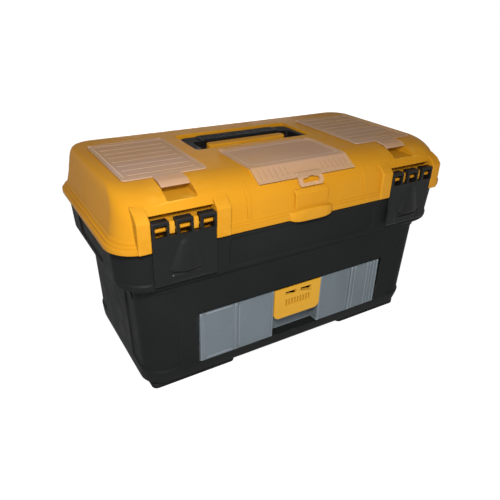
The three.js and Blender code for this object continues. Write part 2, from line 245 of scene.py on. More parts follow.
def pocket(x, y, z, radius, edge=0.0, floor=0.0, steps=6):
    """A rounded hollow, open upward: its floor edge is filleted and its rim flares out."""
    levels = []
    fillet_steps = 4 if floor else 0
    for i in range(fillet_steps + 1):
        turn = (i / fillet_steps if fillet_steps else 1) * math.pi / 2
        levels.append((z[0] + floor * (1 - math.cos(turn)), -floor * (1 - math.sin(turn))))
    if edge:
        for i in range(4):
            turn = i / 3 * math.pi / 2
            levels.append((z[1] - edge * (1 - math.sin(turn)), edge * (1 - math.cos(turn))))
        levels.append((z[1] + 6, edge))
    else:
        levels.append((z[1], 0))
    rings = []
    for level_z, out in levels:
        outline = rounded_outline(grow(x, out), grow(y, out), max(radius + out, 0.5), steps)
        rings.append([(px, py, level_z) for px, py in outline])
    return loft("pocket", rings)


def pillow(x, y, z, radius, edge, steps=6):
    """A rounded plate whose top and bottom edges are both rounded over."""
    levels = [(z[0] + edge * (1 - math.sin(t)), -edge * (1 - math.cos(t))) for t in (1.57, 1.05, 0.52)]
    levels += [(z[0] + edge, 0), (z[1] - edge, 0)]
    levels += [(z[1] - edge * (1 - math.sin(t)), -edge * (1 - math.cos(t))) for t in (0.52, 1.05, 1.57)]
    rings = []
    for level_z, out in levels:
        outline = rounded_outline(grow(x, out), grow(y, out), max(radius + out, 0.3), steps)
        rings.append([(px, py, level_z) for px, py in outline])
    return loft("pillow", rings)


# ------------------------------------------------------------------ shells stacked from levels


def ease(t):
    t = min(max(t, 0.0), 1.0)
    return t * t * (3 - 2 * t)


def panel(u, v, span_u, span_v, radius, soft=1.6):
    """1 inside a rounded rectangle, 0 outside, easing over its edge."""
    du = abs(u - sum(span_u) / 2) - (span_u[1] - span_u[0]) / 2 + radius
    dv = abs(v - sum(span_v) / 2) - (span_v[1] - span_v[0]) / 2 + radius
    outside = math.hypot(max(du, 0), max(dv, 0)) + min(max(du, dv), 0) - radius
    return ease(0.5 - outside / (2 * soft))


def graded(low, high, step, marks):
    """Values from low to high, closer together around each mark."""
    count = round((high - low) / step)
    values = [low + (high - low) * i / count for i in range(count + 1)]
    for mark in marks:
        values += [mark + shift for shift in (-2.0, -1.2, -0.4, 0.4, 1.2, 2.0)]
    kept = []
    for value in sorted(v for v in values if low <= v <= high):
        if not kept or value - kept[-1] > 0.35:
            kept.append(value)
    return kept


def shell_columns(front_x, side_shift, corner_steps=14):
    """Columns round a shell: x on the long sides, shifts from the middle on the ends."""
    turns = [i / corner_steps for i in range(corner_steps + 1)]
    columns = [("front", x) for x in front_x]
    columns += [("front_right", t) for t in turns]
    columns += [("right", shift) for shift in side_shift]
    columns += [("back_right", t) for t in turns]
    columns += [("back", x) for x in reversed(front_x)]
    columns += [("back_left", t) for t in turns]
    columns += [("left", shift) for shift in reversed(side_shift)]
    columns += [("front_left", t) for t in turns]
    return columns


CORNER_TURNS = {"front_right": -1, "back_right": 0, "back_left": 1, "front_left": 2}


def column_point(level, column, side_reach):
    """Where a column crosses a level, and the outward direction there."""
    half_x, front, back, radius = level
    zone, value = column
    if zone == "front":
        return (value, front), (0, -1)
    if zone == "back":
        return (value, back), (0, 1)
    if zone in ("left", "right"):
        flat = (back - front) / 2 - radius
        sign = 1 if zone == "right" else -1
        return (sign * half_x, (front + back) / 2 + value * min(1, flat / side_reach)), (sign, 0)
    turn = (CORNER_TURNS[zone] + value) * math.pi / 2
    cx = (half_x - radius) * (1 if "right" in zone else -1)
    cy = front + radius if "front" in zone else back - radius
    return (cx + radius * math.cos(turn), cy + radius * math.sin(turn)), (math.cos(turn), math.sin(turn))


def level_at(levels, z):
    """The half length, front, back and corner radius at a height."""
    for lower, upper in zip(levels, levels[1:]):
        if z <= upper[0]:
            t = (z - lower[0]) / (upper[0] - lower[0])
            return [a + (b - a) * t for a, b in zip(lower[1:], upper[1:])]
    return list(levels[-1][1:])


def shell(name, levels, heights, columns, inset=0.0, relief=None):
    side_reach = max(value for zone, value in columns if zone == "right")
    rings = []
    for z in heights:
        half_x, front, back, radius = level_at(levels, z)
        level = (half_x - inset, front + inset, back - inset, max(radius - inset, 2))
        ring = []
        for column in columns:
            (x, y), (nx, ny) = column_point(level, column, side_reach)
            depth = relief(column, z) if relief else 0
            ring.append((x - nx * depth, y - ny * depth, z))
        rings.append(ring)
    return loft(name, rings)


# ------------------------------------------------------------------ materials


class Nodes:
    """A material's node tree, with short calls for the nodes used here."""

    def __init__(self, name):
        self.material = bpy.data.materials.new(name)
        self.material.use_nodes = True
        self.tree = self.material.node_tree
        self.shader = self.tree.nodes["Principled BSDF"]
        self.place = self.tree.nodes.new("ShaderNodeTexCoord").outputs["Object"]

    def link(self, source, socket):
        self.tree.links.new(source, socket)

    def noise(self, scale, detail=2.0, stretch=None):
        node = self.tree.nodes.new("ShaderNodeTexNoise")
        node.inputs["Scale"].default_value = scale
        node.inputs["Detail"].default_value = detail
        source = self.place
        if stretch:
            mapping = self.tree.nodes.new("ShaderNodeMapping")
            mapping.inputs["Scale"].default_value = stretch
            self.link(source, mapping.inputs["Vector"])
            source = mapping.outputs["Vector"]
        self.link(source, node.inputs["Vector"])
        return node.outputs["Fac"]

    def grain(self, scale):
        node = self.tree.nodes.new("ShaderNodeTexVoronoi")
        node.inputs["Scale"].default_value = scale
        self.link(self.place, node.inputs["Vector"])
        return node.outputs["Distance"]

    # Pointiness mask of convex edges and ribs: real wear in moulded plastic, a painted highlight on clear
    # plastic.
    def wear_and_highlight_edge(self):
        node = self.tree.nodes.new("ShaderNodeNewGeometry")
        return self.range(node.outputs["Pointiness"], (0.52, 0.60), (0.0, 1.0))

    def range(self, source, come, go):
        node = self.tree.nodes.new("ShaderNodeMapRange")
        node.inputs["From Min"].default_value, node.inputs["From Max"].default_value = come
        node.inputs["To Min"].default_value, node.inputs["To Max"].default_value = go
        self.link(source, node.inputs["Value"])
        return node.outputs["Result"]

    def blend(self, factor, first, second):
        node = self.tree.nodes.new("ShaderNodeMix")
        node.data_type = "RGBA"
        self.link(factor, node.inputs["Factor"])
        for value, socket in ((first, node.inputs["A"]), (second, node.inputs["B"])):
            if isinstance(value, tuple):
                socket.default_value = (*value, 1)
            else:
                self.link(value, socket)
        return node.outputs["Result"]

    def bump(self, height, distance, strength=1.0, under=None):
        node = self.tree.nodes.new("ShaderNodeBump")
        node.inputs["Distance"].default_value = distance
        node.inputs["Strength"].default_value = strength
        self.link(height, node.inputs["Height"])
        if under:
            self.link(under, node.inputs["Normal"])
        return node.outputs["Normal"]


def moulded(name, color, dark, worn, roughness, grain_scale, grain_depth, specular=0.5):
    """Moulded plastic: cloudy colour, a fine pressed grain, soft waves and paler worn edges."""
    n = Nodes(name)
    cloud = n.range(n.noise(9, 3), (0.3, 0.7), (0.0, 1.0))
    body = n.blend(cloud, dark, color)
    wear = n.tree.nodes.new("ShaderNodeMath")
    wear.operation = "MULTIPLY"
    n.link(n.wear_and_highlight_edge(), wear.inputs[0])
    n.link(n.range(n.noise(60, 4), (0.42, 0.62), (0.0, 0.8)), wear.inputs[1])
    n.link(n.blend(wear.outputs["Value"], body, worn), n.shader.inputs["Base Color"])
    low, high = roughness
    n.link(n.range(n.noise(35, 5), (0.3, 0.7), (low, high)), n.shader.inputs["Roughness"])
    wave = n.bump(n.noise(14, 1), 0.0012, 0.35)
    pressed = n.bump(n.grain(grain_scale), grain_depth, 0.6, wave)
    n.link(n.bump(n.noise(grain_scale * 0.8, 3), grain_depth, 0.5, pressed), n.shader.inputs["Normal"])
    n.shader.inputs["Specular IOR Level"].default_value = specular
    return n.material


def frosted(name, color, tint, edge, alpha, roughness, streak):
    """Clear plastic with a milky, slightly uneven body. Along its edges and ribs it gets a painted
    highlight: the edge colour, paler and more opaque, stands in for light caught in the thicker plastic.
    """
    n = Nodes(name)
    cloud = n.range(n.noise(12, 2, streak), (0.3, 0.7), (0.0, 1.0))
    # Pointiness mask for the painted highlight on edges and ribs.
    edges = n.wear_and_highlight_edge()
    n.link(n.blend(edges, n.blend(cloud, color, tint), edge), n.shader.inputs["Base Color"])
    low, high = alpha
    cover = n.range(n.noise(10, 2, streak), (0.3, 0.7), (low, high))
    thick = n.tree.nodes.new("ShaderNodeMath")
    thick.operation = "MAXIMUM"
    n.link(cover, thick.inputs[0])
    # The painted edge highlight also makes edges and ribs more opaque.
    n.link(n.range(edges, (0.0, 1.0), (0.0, 0.8)), thick.inputs[1])
    n.link(thick.outputs["Value"], n.shader.inputs["Alpha"])
    n.link(n.range(n.noise(120, 4), (0.3, 0.7), roughness), n.shader.inputs["Roughness"])
    n.link(n.bump(n.noise(30, 2), 0.0008, 0.3), n.shader.inputs["Normal"])
    n.shader.inputs["Specular IOR Level"].default_value = 0.15
    return n.material


def drawn_steel(name):
    n = Nodes(name)
    streaks = n.noise(400, 3, (0.05, 1, 1))
    n.link(n.blend(streaks, (0.42, 0.42, 0.43), (0.68, 0.68, 0.69)), n.shader.inputs["Base Color"])
    n.link(n.range(streaks, (0.3, 0.7), (0.25, 0.42)), n.shader.inputs["Roughness"])
    n.link(n.bump(streaks, 0.00008, 0.6), n.shader.inputs["Normal"])
    n.shader.inputs["Metallic"].default_value = 1
    return n.material


YELLOW = moulded("yellow_plastic", (0.43, 0.192, 0.011), (0.40, 0.172, 0.008), (0.50, 0.25, 0.03),
                 (0.28, 0.38), 1300, 0.00006, specular=0.05)
PULL_YELLOW = moulded("pull_yellow_plastic", (0.52, 0.27, 0.02), (0.48, 0.235, 0.016), (0.58, 0.32, 0.04),
                      (0.34, 0.46), 1400, 0.00007, specular=0.15)
BLACK = moulded("black_plastic", (0.0118, 0.0128, 0.0123), (0.0096, 0.0105, 0.0101), (0.026, 0.028, 0.027),
                (0.42, 0.54), 1000, 0.00010, specular=0.05)
SMOOTH_BLACK = moulded("smooth_black_plastic", (0.0018, 0.0020, 0.0023), (0.0012, 0.0014, 0.0016),
                       (0.014, 0.014, 0.015), (0.44, 0.54), 1500, 0.00003, specular=0.3)
LATCH_BLACK = moulded("latch_black_plastic", (0.0052, 0.0055, 0.0057), (0.0042, 0.0045, 0.0047),
                      (0.020, 0.020, 0.021), (0.36, 0.46), 1500, 0.00003, specular=0.35)
TRAY_GREY = moulded("tray_grey_plastic", (0.055, 0.058, 0.062), (0.044, 0.047, 0.05), (0.11, 0.11, 0.115),
                    (0.42, 0.56), 1100, 0.00012)
# The third colour of each clear plastic is its painted edge highlight.
CLEAR_COVER = frosted("clear_cover_plastic", (0.53, 0.32, 0.15), (0.48, 0.305, 0.215), (0.62, 0.45, 0.32),
                      (0.46, 0.62), (0.40, 0.52), (0.6, 1.2, 1))
CLEAR_DRAWER = frosted("clear_drawer_plastic", (0.150, 0.178, 0.196), (0.115, 0.139, 0.154),
                       (0.34, 0.38, 0.42), (0.74, 0.88), (0.26, 0.38), (1, 1, 0.5))
STEEL = drawn_steel("drawn_steel")


def finish_piece(obj, name, body, material, replaces=(), angle=32):
    obj.name = name
    obj.data.name = name
    obj.data.materials.clear()
    obj.data.materials.append(material)
    shade(obj, angle)
    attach(obj, body)
    if replaces:
        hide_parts(*replaces)
    return obj


CLEAR_GRID = 4
CLEAR_CREASE_ANGLE = 20


def finish_clear(obj, name, body, material, replaces):
    """Finishes a clear piece so that its painted edge highlight falls only on its edges and ribs."""
    split_on_grid(flatten(obj), CLEAR_GRID)
    return finish_piece(obj, name, body, material, replaces, CLEAR_CREASE_ANGLE)


# ------------------------------------------------------------------ body

# Height, half length, front, back and corner radius.
BODY_LEVELS = [
    (7, 226, -103, 108, 26),
    (8, 229, -106, 111, 28),
    (10.5, 231, -108.6, 113.5, 30),
    (15, 231.8, -110.5, 114.6, 31),
    (30, 233, -115, 117, 32),
    (158, 236.8, -118.8, 121.6, 34),
    (162, 237.2, -119.2, 122.2, 34),
    (164, 239.5, -120.1, 123, 35),
    (166, 245, -122.2, 124.6, 36),
    (168, 251, -124.5, 126.6, 37),
    (170, 254.3, -125.7, 127.7, 38),
    (172.5, 255.2, -126.1, 128, 38),
    (221, 258, -128, 130, 38),
    (222, 257.7, -127.7, 129.7, 38),
    (222.5, 257, -127, 129, 37.5),
]

CORNER_PANEL_X = 188
CORNER_PANEL_Y = 60
CORNER_PANEL_Z = (34, 157)
CORNER_PANEL_DEPTH = 1.9
BAND_PANEL_Z = (178, 219)
BAND_PANEL_DEPTH = 1.8
FRONT_PANEL_X = (-119, 119)
FRONT_PANEL_Z = (175, 215)
FRONT_PANEL_DEPTH = 1.9


def body_relief(column, z):
    zone, value = column
    if zone in ("front", "back"):
        corner = ease((abs(value) - CORNER_PANEL_X) / 3 + 0.5)
        band = 0
    elif zone in ("left", "right"):
        corner = ease((abs(value) - CORNER_PANEL_Y) / 3 + 0.5)
        band = 0
    else:
        corner = 1
        from_front = value if zone in ("front_right", "back_left") else 1 - value
        band = ease(from_front * 18 - 0.4) * ease((0.88 - from_front) * 22)
    low, high = CORNER_PANEL_Z
    depth = CORNER_PANEL_DEPTH * corner * ease((z - low) / 3 + 0.5) * ease((high - z) / 3 + 0.5)
    low, high = BAND_PANEL_Z
    depth += BAND_PANEL_DEPTH * band * ease((z - low) / 2.4 + 0.5) * ease((high - z) / 2.4 + 0.5)
    if zone == "front":
        depth += FRONT_PANEL_DEPTH * panel(value, z, FRONT_PANEL_X, FRONT_PANEL_Z, 9, 1.3)
    if zone == "back":
        depth += FRONT_PANEL_DEPTH * panel(value, z, (-100, 100), (40, 150), 12, 1.5)
        depth += FRONT_PANEL_DEPTH * panel(value, z, (-105, 105), FRONT_PANEL_Z, 9, 1.3)
    if zone in ("left", "right"):
        depth += 2.2 * panel(value, z, (-53, 53), (178, 212), 10, 1.5)
    return depth


def hinge_thirds(span):
    third = (span[1] - span[0]) / 3
    middle = grow((span[0] + third, span[1] - third), -0.4)
    return middle, ((span[0], span[0] + third), (span[1] - third, span[1]))


BODY_KNUCKLES = [hinge_thirds(span)[0] for span in HINGE_SPANS]
LID_KNUCKLES = [span for whole in HINGE_SPANS for span in hinge_thirds(whole)[1]]


def knuckle(span, root_y, z):
    barrel = soften(rod_x(span, HINGE_Y, HINGE_Z, 5), 0.5)
    return union(barrel, [box(grow(span, -0.2), (root_y, HINGE_Y), z)])


def knuckle_gap(span):
    return rod_x(grow(span, 0.4), HINGE_Y, HINGE_Z, 5.5)


def pin_holes():
    return [rod_x(grow(span, 1), HINGE_Y, HINGE_Z, 2.8) for span in HINGE_SPANS]


def ring_between(levels, z, outer_inset, inner_inset, columns):
    outside = shell("tongue", levels, z, columns, outer_inset)
    inside = shell("tongue", levels, grow(z, 1), columns, inner_inset)
    return cut(outside, [inside])


def bay_flare():
    """Rounds over the edge of the drawer bay where it meets the front wall."""
    x0 = DRAWER_X + 1
    z0, z1 = DRAWER_Z[0] - 0.5, DRAWER_Z[1] + 1
    near = [(-x0 - 2.5, z0 - 2.5), (x0 + 2.5, z0 - 2.5), (x0 + 2.5, z1 + 2.5), (-x0 - 2.5, z1 + 2.5)]
    far = [(-x0, z0), (x0, z0), (x0, z1), (-x0, z1)]
    points = [(x, -119.5, z) for x, z in near] + [(x, -115.6, z) for x, z in far]
    return prism("flare", points, 4)


def body_shell():
    columns = shell_columns(
        graded(-199, 199, 7, (-CORNER_PANEL_X, -119, 119, CORNER_PANEL_X)),
        graded(-77, 77, 7, (-CORNER_PANEL_Y, -53, 53, CORNER_PANEL_Y)),
    )
    heights = graded(7, 222.5, 5, (9, 34, 157, 165, 169, 175, 178, 215, 219, 221))
    obj = shell("body", BODY_LEVELS, heights, columns, relief=body_relief)
    plain = shell_columns(graded(-195, 195, 65, ()), graded(-75, 75, 50, ()), 10)
    cavity = shell("cavity", BODY_LEVELS[:1] + BODY_LEVELS[3:12] + [(230, 258.5, -128.5, 130.5, 38)],
                   [10, 13, 20, 30, 100, 158, 165, 169, 173, 200, 221, 229], plain, WALL)
    y0, y1 = DRAWER_Y
    z0, z1 = DRAWER_Z
    cut(cavity, [box(grow((-DRAWER_X, DRAWER_X), 4), (-112, y1 + 4), (0, z1 + 4))])
    bay = box(grow((-DRAWER_X, DRAWER_X), 1), (-200, y1 + 1), (z0 - 0.5, z1 + 1))
    under_bay = pocket((-DRAWER_X, DRAWER_X), (-100, y1), (-8, z0 - 4), 6)
    cut(obj, [cavity, bay, under_bay, bay_flare()])
    tongue = ring_between(BODY_LEVELS[:13] + [(231, 258, -128, 130, 38)], (215, 227), 2.2, 4.4, plain)
    cut(tongue, [box(grow(span, 5), (-140, -100), (222.5, 230)) for span in both_sides(LATCH_BAY_X)])
    ledges = [soft_box(span, (-85, 85), (140, 149.5), 1.0) for span in both_sides((220, 236))]
    foot_y = ((-104, -58), (62, 108))
    feet = [pillow(span, y, (0, 8), 8, 1.4) for span in both_sides((96, 223)) for y in foot_y]
    hook = [(-125, 188), (-125, 202), (-128.5, 202), (-130.5, 198), (-130.5, 193)]
    catches = [profile_x(span, hook) for span in both_sides((150, 210))]
    rib_z = (z1 + 3, z1 + 5.4)
    ribs = [soft_box((x - 0.9, x + 0.9), (-66, 64), rib_z, 0.5) for x in range(-140, 141, 40)]
    union(obj, [tongue, *ledges, *feet, *catches, *ribs,
                *[knuckle(span, 127, (HINGE_Z - 5, HINGE_Z - 1)) for span in BODY_KNUCKLES]])
    cut(obj, [*[knuckle_gap(span) for span in LID_KNUCKLES], *pin_holes()])
    return finish_piece(obj, "body_moulding", "body", BLACK, ["body_shell"])


# ------------------------------------------------------------------ lid

LID_LEVELS = [
    (223, 264, -131, 131, 37),
    (223.4, 264.6, -131.6, 131.6, 37.6),
    (224.2, 265, -132, 132, 38),
    (229.6, 265, -132, 132, 38),
    (230.4, 264.6, -131.8, 131.7, 37.8),
    (230.9, 262.4, -130.7, 131, 37.2),
    (233.6, 262, -130.4, 130.8, 37),
    (234.2, 261.6, -130.2, 130.6, 37),
    (234.7, 258.8, -129.1, 129.8, 36.4),
    (237.5, 258, -128.6, 129.4, 36),
    (238.5, 257, -128, 129, 36),
    (256, 253, -126, 126, 35),
    (262, 252.1, -124.4, 125.6, 34.6),
    (267, 251, -122, 125, 34),
    (272, 250.2, -118.4, 124.6, 33.6),
    (276, 249.2, -114, 124.2, 33),
    (280, 248.1, -107.6, 123.6, 32.6),
    (283, 246.8, -101, 123, 32),
    (285, 245.4, -94.4, 122, 31),
    (286.5, 243.6, -86, 120.8, 30),
    (287.2, 241.6, -79, 119.2, 29),
    (287.5, 239, -72, 117, 28),
]


def lid_heights():
    heights = [level[0] for level in LID_LEVELS]
    extra = [243, 248, 252, 259, 264.5, 269.5, 274, 278, 281.5, 284, 285.8, 286.9]
    return sorted(heights + extra)


def bin_shapes():
    left = (mirror(SIDE_BIN_X), SIDE_BIN_Y)
    return (left, (CENTRE_BIN_X, CENTRE_BIN_Y), (SIDE_BIN_X, SIDE_BIN_Y))


def side_bin_middles():
    return [sum(SIDE_BIN_X) / -2, sum(SIDE_BIN_X) / 2]


def cheek_post(span):
    """One of the upright posts beside a latch bay."""
    outline = [(-133.5, 223.2), (-112, 223.2), (-100, 274), (-114, 274), (-126, 268.5), (-133.5, 261)]
    return soften(profile_x(span, outline), 1.8, 3)


def centre_nose():
    """The raised slope under the centre cover's apron."""
    outline = [(-128, 240), (-60, 240), (-60, LID_TOP_Z), (-96, LID_TOP_Z), (-118, 274.5), (-124, 262)]
    return soften(profile_x((-77, 77), outline), 1.0, 3, 15)


def front_block():
    """The raised block between the centre cover's tab and the thumb lip."""
    outline = [(-131, 234), (-118, 234), (-116, 262), (-126, 262), (-131, 257)]
    return soften(profile_x((-26, 26), outline), 1.2, 3)


def thumb_lip():
    """A lip in the middle of the rim that swells forward, for a thumb to lift the lid."""
    rings = []
    steps = 24
    for i in range(steps + 1):
        x = -THUMB_LIP_X + 2 * THUMB_LIP_X * i / steps
        from_middle = abs(x) / THUMB_LIP_X
        out = 5.5 * (1 - from_middle ** 4) ** 0.5 if from_middle < 1 else 0
        front = -131.4 - out
        height = 235 + 3 * ease(1 - from_middle ** 2)
        low = RIM_Z - 3.5 * (1 - from_middle ** 4)
        rings.append([
            (x, -122, 223.2), (x, -122, height + 1), (x, -128, height), (x, front + 1.8, height - 1.6),
            (x, front, height - 4.5), (x, front, low + 3), (x, front + 0.8, low + 0.9),
            (x, min(front + 2.4, -130.8), low), (x, -130.5, low), (x, -130.5, 223.2),
        ])
    return loft("lip", rings)


def front_rib(x):
    """A low upright rib on the lid's front, rising with its slope."""
    face = [(-129.2, 238), (-128.9, 246), (-126.9, 256), (-125.4, 262), (-123, 267)]
    face += [(-119.2, 272), (-114.6, 276), (-108.6, 279.6), (-104, 281)]
    inside = [(y + 6, z - 2) for y, z in reversed(face)]
    return soften(profile_x((x - 2.6, x + 2.6), [*face, *inside]), 0.8)


def latch_bars(middle):
    x0 = middle - LATCH_HALF_X
    rib_spans = [(a[1] + 0.5, b[0] - 0.5) for a, b in zip(LATCH_KNUCKLES, LATCH_KNUCKLES[1:])]
    outline = [(LATCH_BAR_Y - 3.5, 241), (LATCH_BAR_Y + 15, 241), (LATCH_BAR_Y + 15, 255.5),
               (LATCH_BAR_Y - 2, 255.5), (LATCH_BAR_Y - 3.5, 253)]
    ribs = [soften(profile_x((middle + a, middle + b), outline), 0.7) for a, b in rib_spans]
    return [rod_x((x0 - 2, x0 + 82), LATCH_BAR_Y, LATCH_BAR_Z, 3), *ribs]


def cover_hinge_groove(x, y):
    return rod_x(x, y[1] + 4, LID_TOP_Z, 2.6)


def lid_shell():
    columns = shell_columns(graded(-200, 200, 20, ()), graded(-85, 85, 17, ()))
    obj = shell("lid", LID_LEVELS, lid_heights(), columns)
    plain = shell_columns(graded(-195, 195, 65, ()), graded(-76, 76, 38, ()), 10)
    inner_levels = [(222, 265, -132, 132, 38), (229, 265, -132, 132, 38), (234, 257, -128, 129, 36)]
    inner_levels += [(z - 3, a, f, b, r) for z, a, f, b, r in LID_LEVELS if z > 240]
    cavity = shell("cavity", inner_levels, [level[0] for level in inner_levels], plain, WALL)
    bays = both_sides(LATCH_BAY_X)
    kept = [soft_box(grow(x, 2.5), grow(y, 2.5), (BIN_FLOOR_Z - 2.5, 292), 2, 3) for x, y in bin_shapes()]
    kept.append(soft_box(grow(WELL_X, 2.5), grow(WELL_Y, 2.5), (WELL_FLOOR_Z - 2.5, 292), 2, 3))
    kept += [soft_box(grow(span, 3.5), (-138, -109), (215, 268.5), 2, 3) for span in bays]
    kept += [box((m - TAB_X - 2, m + TAB_X + 2), (-119, -70), (270, 287.5)) for m in side_bin_middles()]
    kept.append(box((-HANDLE_X - 14, HANDLE_X + 14), (8, 24), (268, 287.5)))
    cut(cavity, kept)
    posts = [cheek_post(span) for pair in ((120.5, 139.5), (220.5, 236.5)) for span in both_sides(pair)]
    union(obj, [centre_nose(), front_block(), thumb_lip(), *posts])
    cut(obj, [cavity])
    holes = [pocket(x, y, (BIN_FLOOR_Z, LID_TOP_Z), 6, 0.9, 3) for x, y in bin_shapes()]
    holes.append(pocket(WELL_X, WELL_Y, (WELL_FLOOR_Z, LID_TOP_Z), 5, 1.2, 2.5))
    holes += [soft_box(grow(span, 0.5), (-150, -112.5), (226, 264), 1.0) for span in bays]
    holes += [box(grow(span, 0.5), (-150, -128.5), (218, 227)) for span in bays]
    tab_spans = [(m - TAB_X, m + TAB_X) for m in side_bin_middles()]
    holes += [pocket(span, (-117, -73), (274, 292), 3, 0, 1.5) for span in tab_spans]
    cut(obj, holes)
    pad = pillow((-66, 66), (30, 46), (261, 284.5), 6, 1.5)
    added = [pad, *[rib for m in (-LATCH_MIDDLE_X, LATCH_MIDDLE_X) for rib in latch_bars(m)]]
    added += [knuckle(span, 129, (HINGE_Z, HINGE_Z + 5)) for span in LID_KNUCKLES]
    union(obj, added)
    cut(obj, [*[knuckle_gap(span) for span in BODY_KNUCKLES], *pin_holes(),
              *[cover_hinge_groove(x, y) for x, y in bin_shapes()],
              *[rod_x(span, PIVOT_Y, PIVOT_Z, 3.4) for span in both_sides((95, 105))]])
    flatten(obj)
    for sign, side in ((-1, "left"), (1, "right")):
        finish_piece(front_rib(sign * FRONT_RIB_X), f"lid_front_rib_{side}", "lid", YELLOW)
    return finish_piece(obj, "lid_moulding", "lid", YELLOW, ["lid_shell"])


# ------------------------------------------------------------------ covers


def cover_barrel(x, y):
    web = box(grow(x, -6), (y[1] - 2, y[1] + 4), (LID_TOP_Z + 0.3, TOP_Z - 0.5))
    return union(rod_x(grow(x, -0.5), y[1] + 4, LID_TOP_Z, 2.2), [web])


def side_cover(middle, side):
    x = (middle - 52.5, middle + 52.5)
    plate = pillow(grow(x, 2), (SIDE_BIN_Y[0] - 4, SIDE_BIN_Y[1] - 0.5), (LID_TOP_Z + 0.3, TOP_Z), 6, 0.7)
    dish = pocket(grow(x, -4), (SIDE_BIN_Y[0] + 2, SIDE_BIN_Y[1] - 7), (TOP_Z - 0.7, TOP_Z), 4, 0.3)
    ridges = [soft_box(grow(x, -9), (y - 0.8, y + 0.8), (TOP_Z - 1.1, TOP_Z - 0.25), 0.3)
              for y in range(-56, 70, 18)]
    tab = profile_x((middle - TAB_X + 1, middle + TAB_X - 1), [
        (-70, 288), (-88, 286.5), (-97, 283.5), (-98, 285), (-94, 287.4), (-89, 289.2), (-70, 290)][::-1])
    obj = cut(plate, [dish])
    union(obj, [*ridges, soften(tab, 0.5), cover_barrel(x, SIDE_BIN_Y)])
    name = f"cover_{side}"
    return finish_clear(obj, f"{name}_lens", name, CLEAR_COVER, [name])


def centre_cover():
    x, y = CENTRE_BIN_X, CENTRE_BIN_Y
    apron = profile_x(grow(x, 2), [
        (y[1] - 0.5, 287.8), (y[1] - 0.5, TOP_Z), (-95, TOP_Z), (-99, 289.4), (-121.6, 275.6),
        (-119.6, 274.9), (-97, 287.8)][::-1])
    obj = soften(apron, 0.5, 3, 15)
    dish = pocket(grow(x, -4), (-90, y[1] - 6), (TOP_Z - 0.7, TOP_Z), 4, 0.3)
    cut(obj, [dish])
    slope = [(-101, 288.2), (-101, 289), (-120.4, 277.1), (-120, 276)]
    ribs = [profile_x((rx - 0.7, rx + 0.7), slope[::-1]) for rx in range(-68, 69, 8) if abs(rx) > TAB_X + 2]
    bar_outline = [(-117, 277.6), (-118, 279.6), (-121.8, 277.3), (-121.4, 275.6)]
    frame_bar = soften(profile_x(grow(x, 1), bar_outline[::-1]), 0.4)
    tab = profile_x((-TAB_X, TAB_X), [
        (-112, 280.3), (-117.6, 280), (-123, 276.4), (-126.8, 271), (-128.5, 265), (-126.4, 264),
        (-124.4, 269.6), (-119.5, 275)][::-1])
    keep_inside(tab, [soft_box((-TAB_X, TAB_X), (-150, -90), (264, 300), 6, 5)])
    slot = soft_box((-13.5, 13.5), (-130, -112), (268.6, 274.6), 2)
    union(obj, [*ribs, frame_bar, soften(tab, 0.6), cover_barrel(x, y)])
    cut(obj, [slot])
    name = "cover_centre"
    return finish_clear(obj, f"{name}_lens", name, CLEAR_COVER, [name])


def plate_with_bead(x, y, z, top_bead):
    """A thin divider plate with a rounded bead along its top edge."""
    obj = soft_box(x, y, z, 0.4)
    thick_x = x[1] - x[0] < y[1] - y[0]
    bead_x, bead_y = (grow(x, 0.6), y) if thick_x else (x, grow(y, 0.6))
    return union(obj, [soft_box(bead_x, bead_y, (z[1] - top_bead, z[1]), 0.5)])


def bin_divider(middle, side):
    obj = plate_with_bead((middle - 51.9, middle + 51.9), (-1, 1), (BIN_FLOOR_Z + 0.3, 286), 3)
    name = f"bin_divider_{side}"
    return finish_clear(obj, f"{name}_plate", "lid", CLEAR_DRAWER, [name])


# ------------------------------------------------------------------ handle


def carry_handle():
    z = grow((PIVOT_Z, PIVOT_Z), 6)
    outline = pillow((-HANDLE_X, HANDLE_X), (PIVOT_Y - 12, 80), z, 11, 3.4)
    inside = pocket((11 - HANDLE_X, HANDLE_X - 11), (-30, 52), grow(z, 1), 6)
    obj = cut(outline, [inside, box((-100, 100), (-20, PIVOT_Y), grow(z, 1))])
    arms = [soften(rod_x(span, PIVOT_Y, PIVOT_Z, 6), 0.8) for span in both_sides((HANDLE_X - 11, HANDLE_X))]
    pegs = [rod_x(span, PIVOT_Y, PIVOT_Z, 3) for span in both_sides((HANDLE_X - 4, HANDLE_X + 7))]
    rim_y, groove_y = (54, 78), (58.5, 73.5)
    saddle = pillow((-70, 70), rim_y, (PIVOT_Z + 3, PIVOT_Z + 7.4), 8, 1.4)
    grooves = [soft_box((x - 1.1, x + 1.1), groove_y, (PIVOT_Z + 6.2, PIVOT_Z + 9), 0.5)
               for x in range(-60, 61, 6)]
    union(obj, [*arms, *pegs, cut(saddle, grooves)])
    return finish_piece(obj, "handle_grip", "handle", SMOOTH_BLACK, ["carry_handle"])


# ------------------------------------------------------------------ latches

BULGE_Z = (195, 237)
BULGE_HALF_X = 21
BULGE_OUT = 6.3
GROOVE_Z = 193.2
RIDGE_Z = 188.2


def bulge_height(x, z):
    """How far the cone-shaped thumb grip stands out from the latch plate."""
    low, high = BULGE_Z
    if not low <= z <= high:
        return 0.0
    down = (high - z) / (high - low)
    half = BULGE_HALF_X * (0.16 + 0.84 * down ** 0.8)
    if abs(x) >= half:
        return 0.0
    crown = BULGE_OUT * (0.12 + 0.88 * down ** 0.75) * ease(down * 5)
    return crown * (1 - (x / half) ** 2) ** 0.65


